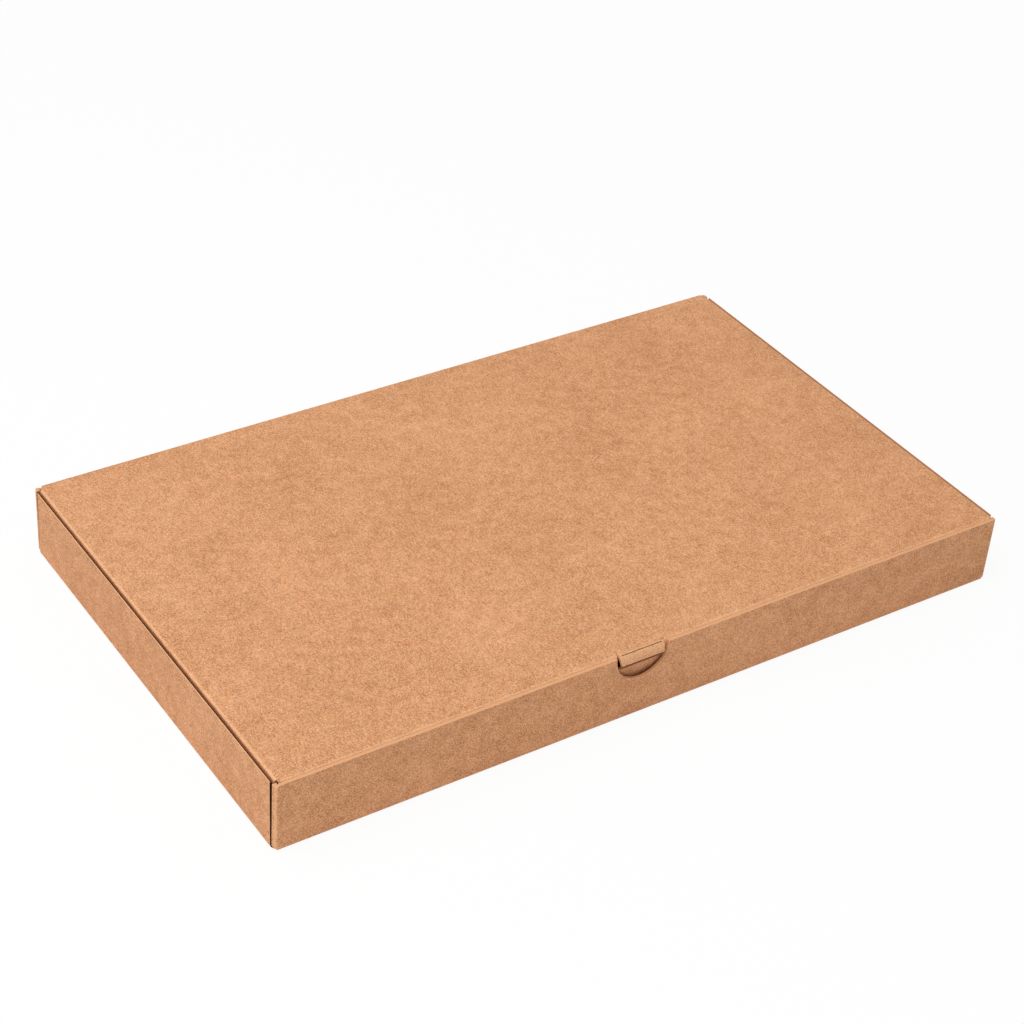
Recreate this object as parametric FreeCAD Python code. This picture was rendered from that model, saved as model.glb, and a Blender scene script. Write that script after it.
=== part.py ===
import FreeCAD, Part
import math
import os

# Closed flatbread box, die-cut and folded from one sheet of brown micro-flute board.
# Millimetres, +Z up, +X to the right, front wall on -Y, rear crease on +Y.
# The origin is the middle of the bottom face.

# Driving dimensions
LENGTH = 350.0                 # outside, over the end walls
WIDTH = 210.0                  # outside, over the front and rear walls
HEIGHT = 33.0                  # outside, lid closed
BOARD = 1.3                    # thickness of the board
FOLD_RADIUS = 1.5              # outside of a right-angle fold
NOTCH_RADIUS = 12.5            # thumb notch in the front wall
NOTCH_DEPTH = 13.0             # from the front wall's top edge down
WALL_DROP = 1.0                # top edges of the front and end walls below the lid's top
FEATURE_X = -11.5              # middle of the thumb notch and of the lift tab

# Clearances
CREASE_GAP = 0.1               # between the two sides of the rear crease
SKIN_GAP = 0.15                # from the crease's outside to the turning axis
TUCK_GAP = 0.2                 # between the tuck flap and the front wall
CORNER_GAP = 0.8               # between the lid's corners and the corner posts

# Tray
POST_INSET = 0.2               # corner posts stand this far inside the end walls' faces
POST_DEPTH = 2.0               # how far a corner post wraps round the corner
SLIT_START = 2.5               # height where the slit beside each corner post begins
SLIT_FOOT = 0.2                # its width there
SLIT_HEAD = 1.5                # its width at the top of the end wall
GLUE_FLAP_LENGTH = 26.0
GLUE_FLAP_TOP = 23.0
GLUE_FLAP_SLANT = 7.0          # the flap's free end is this much shorter at top and bottom

# Lid
SIDE_INSET = 1.4               # the lid's side folds from the end walls' faces
SIDE_FLAP_DEPTH = 20.0
SIDE_FLAP_TILT = 8.0           # degrees inwards
SIDE_FLAP_END = 6.0            # from the lid's front and rear folds to the flap's ends
TUCK_DEPTH = 22.0
TUCK_TILT = 4.5                # degrees inwards
TUCK_INSET = 0.6               # the front fold's ends from the rear crease's ends
TUCK_SLANT = 4.0               # the tuck flap's free edge is this much shorter at each end
FLAP_CORNER = 9.0              # rounding of the flaps' free corners
TAB_WIDTH = 22.4
TAB_TAPER = 0.7                # narrower at each end by this much at its free edge
TAB_REACH = 1.3                # the tab stands out of the front wall's face by this much
TAB_DROP = 4.2                 # the tab's free edge below the lid's top
TAB_CUT = 0.3                  # width of the cut beside the tab
WINDOW_DEPTH = 4.6             # opening that the tab leaves in the tuck flap

# Worked out
HALF_L = LENGTH / 2
HALF_W = WIDTH / 2
INNER_X = HALF_L - BOARD                       # inside of the end walls
INNER_Y = HALF_W - BOARD                       # inside of the front and rear walls
POST_X = HALF_L - POST_INSET
POST_INNER_X = INNER_X - BOARD                 # inside of the glue flaps
FOLD_START_X = POST_X - FOLD_RADIUS            # the corner folds begin here
WALL_TOP = HEIGHT - WALL_DROP                  # top edge of the front and end walls
SIDE_X = HALF_L - SIDE_INSET                   # outside of the lid's side folds
CREASE_X = POST_INNER_X - CORNER_GAP           # half length of the rear crease
TUCK_X = CREASE_X - TUCK_INSET                 # half length of the front fold
TUCK_Y = -(INNER_Y - TUCK_GAP)                 # outer face of the front fold
NOTCH_Z = WALL_TOP - NOTCH_DEPTH + NOTCH_RADIUS
REACH = 40.0                                   # how far cutting blocks run past the board
TINY = 1e-3


def vec(x, y, z):
    """A point."""
    return FreeCAD.Vector(x, y, z)


def in_yz(u, v):
    """A point of a section across the box: u is Y, v is Z."""
    return vec(0.0, u, v)


def in_xz(u, v):
    """A point of a section along the box: u is X, v is Z."""
    return vec(u, 0.0, v)


def in_xy(u, v):
    """A point of a plan view."""
    return vec(u, v, 0.0)


def outline(points, place):
    """Flat face inside a closed outline. A corner given as (u, v, radius) is rounded."""
    edges = []
    starts = []
    ends = []
    count = len(points)
    for index, point in enumerate(points):
        here = vec(point[0], point[1], 0)
        radius = point[2] if len(point) > 2 else 0.0
        before = vec(*points[index - 1][:2], 0)
        after = vec(*points[(index + 1) % count][:2], 0)
        if not radius:
            starts.append(here)
            ends.append(here)
            continue
        back = (before - here).normalize()
        ahead = (after - here).normalize()
        half = back.getAngle(ahead) / 2
        first = here + back * (radius / math.tan(half))
        last = here + ahead * (radius / math.tan(half))
        centre = here + (back + ahead).normalize() * (radius / math.sin(half))
        middle = centre + (here - centre).normalize() * radius
        starts.append(first)
        ends.append(last)
        arc = Part.Arc(place(first.x, first.y), place(middle.x, middle.y), place(last.x, last.y))
        edges.append((index, arc.toShape()))
    arcs = dict(edges)
    chain = []
    for index in range(count):
        if index in arcs:
            chain.append(arcs[index])
        a = ends[index]
        b = starts[(index + 1) % count]
        if (b - a).Length > TINY:
            chain.append(Part.makeLine(place(a.x, a.y), place(b.x, b.y)))
    return Part.Face(Part.Wire(chain))


def folded(points, radius, place):
    """Section of folded board. The points run along its outside, with the inside on their left."""
    inside = []
    count = len(points)
    for index, point in enumerate(points):
        here = vec(*point, 0)
        normals = []
        if index > 0:
            run = (here - vec(*points[index - 1], 0)).normalize()
            normals.append(vec(-run.y, run.x, 0))
        if index < count - 1:
            run = (vec(*points[index + 1], 0) - here).normalize()
            normals.append(vec(-run.y, run.x, 0))
        if len(normals) == 1:
            offset = normals[0] * BOARD
        else:
            offset = (normals[0] + normals[1]) * (BOARD / (1 + normals[0].dot(normals[1])))
        inside.append(here + offset)
    ring = []
    for index, point in enumerate(points):
        ring.append((*point, radius) if 0 < index < count - 1 else point)
    for index in range(count - 1, -1, -1):
        point = inside[index]
        inner = radius - BOARD
        ring.append((point.x, point.y, inner) if 0 < index < count - 1 else (point.x, point.y))
    return outline(ring, place)


def along_x(face, start, end):
    """Solid made by drawing a section from start to end along X."""
    moved = face.copy()
    moved.translate(vec(start, 0, 0))
    return moved.extrude(vec(end - start, 0, 0))


def along_y(face, start, end):
    """Solid made by drawing a section from start to end along Y."""
    moved = face.copy()
    moved.translate(vec(0, start, 0))
    return moved.extrude(vec(0, end - start, 0))


def along_z(face, start, end):
    """Solid made by drawing a plan from start to end along Z."""
    moved = face.copy()
    moved.translate(vec(0, 0, start))
    return moved.extrude(vec(0, 0, end - start))


def block(x0, x1, y0, y1, z0, z1):
    """Axis-aligned block between two corners."""
    return Part.makeBox(x1 - x0, y1 - y0, z1 - z0, vec(x0, y0, z0))


def both_ends(shape):
    """The shape and its mirror image at the other end of the box."""
    return [shape, shape.mirror(vec(0, 0, 0), vec(1, 0, 0))]


def crease_side(lid_side):
    """Cutting block on one side of the mitre plane that runs through the rear crease."""
    size = 4 * REACH
    shift = -CREASE_GAP / 2 if lid_side else CREASE_GAP / 2 - size
    slab = Part.makeBox(LENGTH, size, size, vec(-HALF_L, shift, -size / 2))
    slab.rotate(vec(0, 0, 0), vec(1, 0, 0), 135)
    slab.translate(vec(0, HALF_W - FOLD_RADIUS, HEIGHT - FOLD_RADIUS))
    return slab


def long_walls():
    """Bottom panel, front wall and rear wall with its half of the rear crease."""
    points = [(-HALF_W, WALL_TOP), (-HALF_W, 0), (HALF_W, 0), (HALF_W, HEIGHT)]
    points.append((HALF_W - 2 * FOLD_RADIUS, HEIGHT))
    shell = along_x(folded(points, FOLD_RADIUS, in_yz), -FOLD_START_X, FOLD_START_X)
    shell = shell.cut(crease_side(True))
    above = block(CREASE_X, LENGTH, 0, WIDTH, WALL_TOP, 2 * HEIGHT)
    return shell.cut(Part.makeCompound(both_ends(above)))


def end_walls():
    """Both end walls and the bottom panel between them. Their free ends lean back a little."""
    points = [(-HALF_L, WALL_TOP), (-HALF_L, 0), (HALF_L, 0), (HALF_L, WALL_TOP)]
    back = HALF_W - POST_DEPTH
    closed = back + SLIT_FOOT
    shell = along_y(folded(points, FOLD_RADIUS, in_xz), -closed, closed)
    foot = back - SLIT_FOOT
    head = back - SLIT_HEAD
    half = [(closed, -BOARD), (closed, SLIT_START), (foot, SLIT_START), (head, WALL_TOP)]
    side = half + [(-y, z) for y, z in reversed(half)]
    return shell.common(along_x(outline(side, in_yz), -LENGTH, LENGTH))


def corner_post():
    """Front left corner: the front wall wraps round it up to the slit beside the end wall."""
    back = -HALF_W + POST_DEPTH
    plan = [(-POST_INNER_X, -HALF_W), (-POST_X, -HALF_W, FOLD_RADIUS), (-POST_X, back)]
    plan += [(-POST_INNER_X, back)]
    return along_z(outline(plan, in_xy), FOLD_RADIUS, WALL_TOP)


def glue_flap():
    """Front left glue flap, flat against the inside of the left end wall."""
    start = -HALF_W + POST_DEPTH - BOARD
    end = -HALF_W + GLUE_FLAP_LENGTH
    short = end - GLUE_FLAP_SLANT
    side = [(start, BOARD), (short, BOARD), (end, BOARD + GLUE_FLAP_SLANT, 2.0)]
    side += [(end, GLUE_FLAP_TOP - GLUE_FLAP_SLANT, 2.0), (short, GLUE_FLAP_TOP), (start, GLUE_FLAP_TOP)]
    return along_x(outline(side, in_yz), -INNER_X, -POST_INNER_X)


def make_tray():
    """Tray: bottom, four walls, corner posts, glue flaps and the thumb notch."""
    corner = corner_post().fuse(glue_flap())
    corners = []
    for shape in both_ends(corner):
        corners += [shape, shape.mirror(vec(0, 0, 0), vec(0, 1, 0))]
    tray = long_walls().multiFuse([end_walls()] + corners)
    front = -HALF_W - BOARD
    back = front + 3 * BOARD
    notch = Part.makeCylinder(NOTCH_RADIUS, back - front, vec(FEATURE_X, front, NOTCH_Z), vec(0, 1, 0))
    mouth = block(FEATURE_X - NOTCH_RADIUS, FEATURE_X + NOTCH_RADIUS, front, back, NOTCH_Z, HEIGHT)
    return tray.cut(notch.fuse(mouth)).removeSplitter()


def tuck_outline():
    """Front view of the tuck flap: its ends slant in and its free corners are rounded."""
    low = HEIGHT - TUCK_DEPTH - BOARD
    face = [(-TUCK_X, HEIGHT), (-TUCK_X, HEIGHT - FOLD_RADIUS), (-TUCK_X + TUCK_SLANT, low, FLAP_CORNER)]
    face += [(TUCK_X - TUCK_SLANT, low, FLAP_CORNER), (TUCK_X, HEIGHT - FOLD_RADIUS), (TUCK_X, HEIGHT)]
    return outline(face, in_xz)


def panel_and_tuck_flap():
    """Lid panel from its half of the rear crease over the front fold to the tuck flap."""
    tilt = math.radians(TUCK_TILT)
    tip = (TUCK_Y + TUCK_DEPTH * math.sin(tilt), HEIGHT - TUCK_DEPTH * math.cos(tilt))
    points = [(HALF_W, HEIGHT - 2 * FOLD_RADIUS), (HALF_W, HEIGHT), (TUCK_Y, HEIGHT), tip]
    shell = along_x(folded(points, FOLD_RADIUS, in_yz), -CREASE_X, CREASE_X)
    shell = shell.cut(crease_side(False))
    front = TUCK_Y + 3 * FOLD_RADIUS
    waste = block(-HALF_L, HALF_L, -HALF_W, front, 0, HEIGHT + 1)
    return shell.cut(waste.cut(along_y(tuck_outline(), -HALF_W, front)))


def side_folds():
    """Lid panel out to its side folds, with the two side flaps."""
    lean = SIDE_FLAP_DEPTH * math.tan(math.radians(SIDE_FLAP_TILT))
    low = HEIGHT - SIDE_FLAP_DEPTH
    points = [(SIDE_X - lean, low), (SIDE_X, HEIGHT), (-SIDE_X, HEIGHT), (-SIDE_X + lean, low)]
    front = -HALF_W + POST_DEPTH + CORNER_GAP
    rear = HALF_W - POST_DEPTH - CORNER_GAP
    shell = along_y(folded(points, FOLD_RADIUS, in_xz), front, rear)
    shoulder = HEIGHT - 2 * FOLD_RADIUS
    side = [(front, HEIGHT + 1), (front, shoulder), (front + SIDE_FLAP_END, low, FLAP_CORNER)]
    side += [(rear - SIDE_FLAP_END, low, FLAP_CORNER), (rear, shoulder), (rear, HEIGHT + 1)]
    return shell.common(along_x(outline(side, in_yz), -LENGTH, LENGTH))


def lift_tab():
    """Tab that was cut from the tuck flap and curls down over the thumb notch from its crease."""
    root = vec(0, TUCK_Y, HEIGHT)
    tip = vec(0, -HALF_W - TAB_REACH, HEIGHT - TAB_DROP)
    bulge = vec(0, -HALF_W - TAB_REACH * 0.55, HEIGHT - TAB_DROP * 0.36)
    outer = Part.Arc(root, bulge, tip).toShape()
    centre = outer.Curve.Center
    scale = 1 - BOARD / outer.Curve.Radius
    inside = [centre + (point - centre) * scale for point in (tip, bulge, root)]
    inner = Part.Arc(*inside).toShape()
    foot = Part.makeLine(tip, inside[0])
    head = Part.makeLine(inside[2], root)
    section = Part.Face(Part.Wire([outer, foot, inner, head]))
    half = TAB_WIDTH / 2 - TAB_CUT
    tab = along_x(section, FEATURE_X - half, FEATURE_X + half)
    under = HEIGHT - BOARD
    root_strip = block(FEATURE_X - half, FEATURE_X + half, TUCK_Y, TUCK_Y + FOLD_RADIUS, under, HEIGHT)
    tab = tab.fuse(root_strip)
    front = [(FEATURE_X - half, HEIGHT + 1), (FEATURE_X - half, HEIGHT - FOLD_RADIUS / 2)]
    front += [(FEATURE_X - half + TAB_TAPER, HEIGHT - 2 * TAB_DROP)]
    front += [(FEATURE_X + half - TAB_TAPER, HEIGHT - 2 * TAB_DROP)]
    front += [(FEATURE_X + half, HEIGHT - FOLD_RADIUS / 2), (FEATURE_X + half, HEIGHT + 1)]
    return tab.common(along_y(outline(front, in_xz), -WIDTH, 0))


def make_lid():
    """Lid: panel, side flaps, and the tuck flap with the opening that its lift tab leaves."""
    start = FEATURE_X - TAB_WIDTH / 2
    end = FEATURE_X + TAB_WIDTH / 2
    under = HEIGHT - BOARD
    cut = block(start, end, -HALF_W, TUCK_Y + FOLD_RADIUS, under, HEIGHT + 1)
    window = block(start, end, -HALF_W, TUCK_Y + REACH, HEIGHT - FOLD_RADIUS - WINDOW_DEPTH, under)
    sheet = panel_and_tuck_flap().cut(Part.makeCompound([cut, window]))
    return sheet.multiFuse([side_folds(), lift_tab()]).removeSplitter()


def write(name, shape):
    """Write one sub-part and print what it measures."""
    shape.exportStep(os.path.join("parts", name + ".step"))
    box = shape.BoundBox
    print(name, "solids", len(shape.Solids), "valid", shape.isValid(), "cm3", round(shape.Volume / 1000, 2))
    print("  x", round(box.XMin, 2), round(box.XMax, 2), "y", round(box.YMin, 2), round(box.YMax, 2))
    print("  z", round(box.ZMin, 2), round(box.ZMax, 2))


os.makedirs("parts", exist_ok=True)
tray = make_tray()
lid = make_lid()
write("tray", tray)
write("lid", lid)
axis_offset = (FOLD_RADIUS + SKIN_GAP) / math.sqrt(2)
axis_y = HALF_W - FOLD_RADIUS + axis_offset
axis_z = HEIGHT - FOLD_RADIUS + axis_offset
print("rear crease axis y", round(axis_y, 4), "z", round(axis_z, 4))
print("overlap when closed", round(tray.common(lid).Volume, 5))
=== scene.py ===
"""A closed flatbread box, folded from one die-cut sheet of brown micro-flute board.

The tray, the lid and the rear crease are modelled as folded sheets of board with raw cut edges,
in metres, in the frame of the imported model: +X to the right, the front wall on -Y, +Z up.
"""

import logging
import math
from dataclasses import dataclass, field
from enum import Enum
from typing import Callable

import bmesh
import bpy
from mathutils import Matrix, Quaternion, Vector


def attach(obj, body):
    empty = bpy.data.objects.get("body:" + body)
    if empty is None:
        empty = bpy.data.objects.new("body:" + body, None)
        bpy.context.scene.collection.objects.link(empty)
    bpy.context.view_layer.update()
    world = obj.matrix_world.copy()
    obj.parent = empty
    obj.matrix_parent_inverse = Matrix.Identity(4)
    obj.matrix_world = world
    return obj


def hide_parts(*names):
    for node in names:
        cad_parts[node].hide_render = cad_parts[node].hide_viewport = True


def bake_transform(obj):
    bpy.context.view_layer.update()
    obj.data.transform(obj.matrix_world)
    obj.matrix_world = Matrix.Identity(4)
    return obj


LOG = logging.getLogger("flatbread_box")
MM = 0.001
NEAR = 0.02 * MM  # margin for picking geometry by its place
SAME_WAY = 0.97  # cosine above which a face points along a direction
MERGE = 0.01 * MM  # doubles closer than this are merged

GRAIN_RANGE = (0.3, 0.7)  # where most of the grain noise lies

Pair = tuple[float, float]
Triple = tuple[float, float, float]
Colour = tuple[float, float, float, float]

WHITE: Colour = (1.0, 1.0, 1.0, 1.0)
MIDDLE: Pair = (-90.0 * MM, 90.0 * MM)  # Y range that holds the middles of the long panels

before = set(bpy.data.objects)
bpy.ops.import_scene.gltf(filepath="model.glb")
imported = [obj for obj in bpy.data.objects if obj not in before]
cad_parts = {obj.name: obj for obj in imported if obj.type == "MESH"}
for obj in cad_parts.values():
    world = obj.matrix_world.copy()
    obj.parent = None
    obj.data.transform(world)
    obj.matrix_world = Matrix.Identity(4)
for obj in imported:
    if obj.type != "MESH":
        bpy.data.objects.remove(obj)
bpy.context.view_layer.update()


class Skin(Enum):
    """Material slots of a board piece, in order."""

    OUTER = 0
    INNER = 1
    EDGE = 2
    # painted shade: the near-black finish of hollows, slits and grooves
    PAINTED_SHADE = 3


@dataclass(frozen=True)
class Zone:
    """Axis-aligned box that picks geometry by its place. Every bound is in metres."""

    x: Pair = (-1.0, 1.0)
    y: Pair = (-1.0, 1.0)
    z: Pair = (-1.0, 1.0)

    def holds(self, point: Vector) -> bool:
        """Whether the point lies inside, with a small margin."""
        pairs = zip(point, (self.x, self.y, self.z))
        return all(low - NEAR <= value <= high + NEAR for value, (low, high) in pairs)


def both(low: float, high: float) -> tuple[Pair, Pair]:
    """The range from low to high and its mirror image about zero."""
    return (low, high), (-high, -low)


def span(one: float, other: float) -> Pair:
    """The range between two values, in either order."""
    return min(one, other), max(one, other)


def deselect_all() -> None:
    """Leave object mode's selection empty."""
    bpy.ops.object.select_all(action="DESELECT")


def activate(obj: bpy.types.Object) -> None:
    """Make one object the active one and the only one selected.

    Args:
        obj: that object.
    """
    deselect_all()
    obj.select_set(True)
    bpy.context.view_layer.objects.active = obj


class BoardSheet:
    """One sheet of board being folded up in edit mode."""

    def __init__(self, name: str, low: Pair, high: Pair, z: float) -> None:
        """Lay down the flat panel that the folding starts from.

        Args:
            name: name of the piece.
            low: its lowest X and Y.
            high: its highest X and Y.
            z: its height.
        """
        deselect_all()
        middle = ((low[0] + high[0]) / 2, (low[1] + high[1]) / 2, z)
        bpy.ops.mesh.primitive_plane_add(size=1.0, location=middle)
        self.object = bpy.context.active_object
        self.object.name = name
        self.object.data.name = name
        self.object.scale = (high[0] - low[0], high[1] - low[1], 1.0)
        bpy.ops.object.transform_apply(location=True, rotation=True, scale=True)
        bpy.ops.object.mode_set(mode="EDIT")

    def _select(self, kind: str, parts: str, test: Callable[[object], bool]) -> None:
        """Select exactly the elements that pass the test, and stop if there are none.

        Args:
            kind: Blender's select mode.
            parts: the bmesh sequence of that kind.
            test: takes one element.
        """
        bpy.ops.mesh.select_mode(type=kind)
        bpy.ops.mesh.select_all(action="DESELECT")
        mesh = bmesh.from_edit_mesh(self.object.data)
        found = [part for part in getattr(mesh, parts) if test(part)]
        for part in found:
            part.select_set(True)
        mesh.select_flush_mode()
        bmesh.update_edit_mesh(self.object.data)
        if not found:
            raise ValueError(f"{self.object.name}: nothing to select")

    def edges(self, *zones: Zone) -> None:
        """Select the edges that lie wholly in one of the zones."""
        self._select(
            "EDGE", "edges", lambda e: any(all(zone.holds(v.co) for v in e.verts) for zone in zones)
        )

    def faces(self, *zones: Zone) -> None:
        """Select the faces whose middle lies in one of the zones."""
        self._select(
            "FACE", "faces", lambda f: any(zone.holds(f.calc_center_median()) for zone in zones)
        )

    def corners(self, *zones: Zone) -> None:
        """Select the vertices in the zones."""
        self._select("VERT", "verts", lambda v: any(zone.holds(v.co) for zone in zones))

    def pull(self, move: Triple) -> None:
        """Extrude the selection by a move."""
        bpy.ops.mesh.extrude_region_move(TRANSFORM_OT_translate={"value": move})

    def shift(self, move: Triple) -> None:
        """Move the selection."""
        bpy.ops.transform.translate(value=move)

    def fold(self, radius: float, segments: int = 6) -> None:
        """Round the selected fold.

        Args:
            radius: how far from the fold the rounding starts.
            segments: how many faces the rounding has.
        """
        bpy.ops.mesh.bevel(
            offset_type="OFFSET", offset=radius, segments=segments, profile=0.5,
            affect="EDGES", clamp_overlap=False,
        )

    def round_off(self, radius: float, segments: int = 8) -> None:
        """Round the selected free corners of a flap.

        Args:
            radius: how far from the corner the rounding starts.
            segments: how many edges the rounding has.
        """
        bpy.ops.mesh.bevel(
            offset_type="OFFSET", offset=radius, segments=segments, profile=0.5, affect="VERTICES"
        )

    def slice(self, point: Triple, normal: Triple) -> None:
        """Cut the selected faces along a plane and keep both sides."""
        bpy.ops.mesh.bisect(plane_co=point, plane_no=normal)

    def trim(self, point: Triple, normal: Triple) -> None:
        """Cut the selected faces along a plane and drop what lies behind it."""
        bpy.ops.mesh.bisect(plane_co=point, plane_no=normal, clear_inner=True)

    def remove_faces(self) -> None:
        """Delete the selected faces and the edges that only they used."""
        bpy.ops.mesh.delete(type="FACE")

    def face_outwards(self, zone: Zone, outside: Vector) -> None:
        """Make the normals agree with one known face.

        Args:
            zone: where that face's middle is.
            outside: the direction that it faces.
        """
        bpy.ops.mesh.select_all(action="SELECT")
        bpy.ops.mesh.normals_make_consistent(inside=False)
        mesh = bmesh.from_edit_mesh(self.object.data)
        known = next(f for f in mesh.faces if zone.holds(f.calc_center_median()))
        if known.normal.dot(outside) < 0:
            bpy.ops.mesh.flip_normals()

    def edit(self) -> None:
        """Go back to edit mode with nothing else selected."""
        activate(self.object)
        bpy.ops.object.mode_set(mode="EDIT")

    def leave(self) -> None:
        """Leave edit mode."""
        bpy.ops.object.mode_set(mode="OBJECT")

    def paint(self, skin: Skin) -> None:
        """Give the selected faces a skin."""
        self.object.active_material_index = skin.value
        bpy.ops.object.material_slot_assign()

    def open_flutes(self, zone: Zone, outside: Triple, liner: float = 0.24 * MM,
                    depth: float = 0.9 * MM) -> None:
        """Hollow out a cut edge that runs across the flutes, between the two liners, and paint the
        hollow with painted shade.

        Args:
            zone: where the edge's faces have their middles.
            outside: the way that the edge faces.
            liner: what stays at each side.
            depth: how deep the hollow is.
        """
        way = Vector(outside)
        self._select(
            "FACE", "faces",
            lambda f: f.material_index == Skin.EDGE.value and f.normal.dot(way) > SAME_WAY
            and zone.holds(f.calc_center_median()),
        )
        bpy.ops.mesh.inset(thickness=liner, depth=0, use_even_offset=True, use_boundary=True)
        # Painted shade: the inset floor and the hollow's walls take the near-black shade finish.
        self.paint(Skin.PAINTED_SHADE)
        self.pull(tuple(-depth * value for value in outside))
        self.paint(Skin.PAINTED_SHADE)

    def soften_cut_edges(self, width: float = 0.14 * MM) -> None:
        """Crush the corners between the outer liner and the cut edges a little.

        Args:
            width: how far from the corner the crushing starts.
        """
        pair = {Skin.OUTER.value, Skin.EDGE.value}
        self._select("EDGE", "edges", lambda e: {f.material_index for f in e.link_faces} == pair)
        bpy.ops.mesh.bevel(offset_type="OFFSET", offset=width, segments=2, profile=0.5,
                           affect="EDGES", clamp_overlap=False)

    def thicken(self, board: float) -> None:
        """Give the sheet its thickness and mark its plies.

        The attribute ply is 0 on the outer liner and 1 on the inner one.

        Args:
            board: thickness of the board.
        """
        bpy.ops.mesh.select_all(action="SELECT")
        bpy.ops.mesh.remove_doubles(threshold=MERGE)
        bpy.ops.object.mode_set(mode="OBJECT")
        sheet_corners = len(self.object.data.vertices)
        solid = self.object.modifiers.new("board", "SOLIDIFY")
        solid.thickness = board
        solid.offset = -1.0
        solid.use_even_offset = True
        solid.material_offset = Skin.INNER.value
        solid.material_offset_rim = Skin.EDGE.value
        for _ in Skin:
            self.object.data.materials.append(None)
        apply_modifier(self.object, solid)
        mesh = self.object.data
        ply = mesh.attributes.new("ply", "FLOAT", "POINT")
        for index, item in enumerate(ply.data):
            item.value = 0.0 if index < sheet_corners else 1.0


def apply_modifier(obj: bpy.types.Object, modifier: bpy.types.Modifier) -> None:
    """Apply one modifier of an object in object mode."""
    activate(obj)
    bpy.ops.object.modifier_apply(modifier=modifier.name)


def finish_shading(obj: bpy.types.Object, angle: float = 35.0) -> None:
    """Smooth the folds, keep the panels flat, and mark the folds for paler paper and a painted
    highlight.

    The attribute wear_and_highlight is 0 on flat board and rises to about 0.3 in the middle of a
    fold or a softened edge, where the paper is stretched and paler and a highlight is painted on.

    Args:
        obj: the piece.
        angle: folds below this angle between faces, in degrees, are shaded smooth.
    """
    activate(obj)
    bpy.ops.object.shade_smooth_by_angle(angle=math.radians(angle))
    weighted = obj.modifiers.new("weighted", "WEIGHTED_NORMAL")
    weighted.keep_sharp = True
    apply_modifier(obj, weighted)
    # Rises on folds and softened edges: paler stretched paper and a painted highlight.
    wear_and_highlight = obj.data.attributes.new("wear_and_highlight", "FLOAT", "CORNER")
    for item, normal in zip(wear_and_highlight.data, obj.data.corner_normals):
        item.value = 1.0 - max(abs(part) for part in normal.vector)


def dress(obj: bpy.types.Object, board: "BoardFinish") -> None:
    """Put the board's materials into the piece's slots, in the order of Skin."""
    for skin in Skin:
        obj.data.materials[skin.value] = board.materials[skin]


class Nodes:
    """A node tree that is filled step by step."""

    def __init__(self, tree: bpy.types.NodeTree) -> None:
        """Start from an empty tree."""
        self.tree = tree
        tree.nodes.clear()

    def add(self, kind: str, inputs: dict | None = None, **settings: object) -> bpy.types.Node:
        """Add a node.

        Args:
            kind: its bl_idname.
            inputs: values or output sockets by input name or index.
            **settings: its properties.

        Returns:
            The node.
        """
        node = self.tree.nodes.new(kind)
        for name, value in settings.items():
            setattr(node, name, value)
        for key, value in (inputs or {}).items():
            if isinstance(value, bpy.types.NodeSocket):
                self.tree.links.new(value, node.inputs[key])
            else:
                node.inputs[key].default_value = value
        return node

    def math(self, operation: str, a: object, b: object = 0.0,
             clamp: bool = False) -> bpy.types.NodeSocket:
        """Output of a Math node."""
        node = self.add("ShaderNodeMath", {0: a, 1: b}, operation=operation, use_clamp=clamp)
        return node.outputs[0]

    def blend(self, share: object, a: object, b: object, how: str = "MIX") -> bpy.types.NodeSocket:
        """Mix two colours.

        Args:
            share: how much of b, from 0 to 1.
            a: the first colour.
            b: the second colour.
            how: Blender's blend type.

        Returns:
            The colour output of a Mix node.
        """
        node = self.add("ShaderNodeMix", data_type="RGBA", blend_type=how)
        for index, value in ((0, share), (6, a), (7, b)):
            if isinstance(value, bpy.types.NodeSocket):
                self.tree.links.new(value, node.inputs[index])
            else:
                node.inputs[index].default_value = value
        return node.outputs[2]

    def spread(self, value: object, low: float, high: float, to_low: float = 0.0,
               to_high: float = 1.0) -> bpy.types.NodeSocket:
        """Output of a clamped Map Range node."""
        node = self.add("ShaderNodeMapRange", {0: value, 1: low, 2: high, 3: to_low, 4: to_high})
        return node.outputs[0]

    def rays(self, *kinds: str) -> bpy.types.NodeSocket:
        """Tell some kinds of ray from the others.

        Args:
            *kinds: outputs of the Light Path node.

        Returns:
            1 for rays of those kinds, and 0 for the others.
        """
        path = self.add("ShaderNodeLightPath").outputs
        seen = path[kinds[0]]
        for kind in kinds[1:]:
            seen = self.math("MAXIMUM", seen, path[kind])
        return seen


@dataclass(frozen=True)
class FibreLay:
    """A set of fibres that lie one way: how it is turned, and how tight it is along each axis."""

    turn: Triple
    tightness: Triple


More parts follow.
